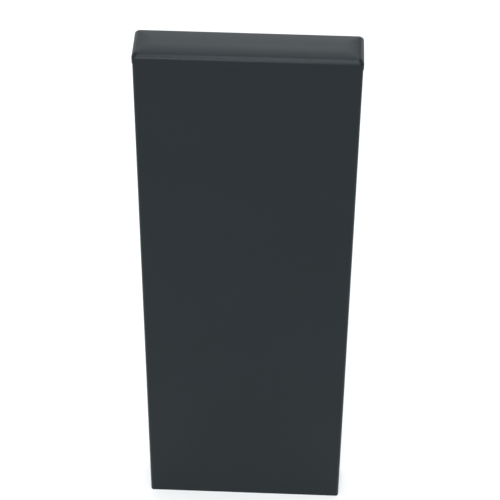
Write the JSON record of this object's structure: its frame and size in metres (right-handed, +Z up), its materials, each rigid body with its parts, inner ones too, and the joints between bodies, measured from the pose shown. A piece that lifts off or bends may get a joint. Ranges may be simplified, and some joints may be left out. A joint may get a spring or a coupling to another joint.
{
  "type": "fence post cap",
  "caption": "Rounded coated metal cap with ribbed plugs, on the upper end of a flat hollow fence post; it pulls off upwards.",
  "frame": {"origin": "middle of the lower cut end of the post, which stands on it", "axes": "+Z up along the post and the way the cap pulls off, X along the width of the flat section, -Y out of the wide front face"},
  "size_m": [0.1006, 0.0206, 0.2859],
  "materials": {
    "post_coat": "anthracite grey powder coat, satin, on extruded aluminium",
    "cover_coat": "the same anthracite powder coat, satin, on cast aluminium",
    "plug_plastic": "black moulded plastic, matt",
    "screw_steel": "bright plated steel"
  },
  "bodies": {
    "post": {"post_profile": "post_coat"},
    "cap": {"cap_cover": "cover_coat", "plug_left": "plug_plastic", "plug_right": "plug_plastic", "screw_left_outer": "screw_steel", "screw_left_inner": "screw_steel", "screw_right_inner": "screw_steel", "screw_right_outer": "screw_steel"}
  },
  "joints": [
    {"name": "cap_pull_off", "type": "slide", "parent": "post", "child": "cap", "axis": [0, 0, 1], "range_m": [0, 0.035]}
  ]
}
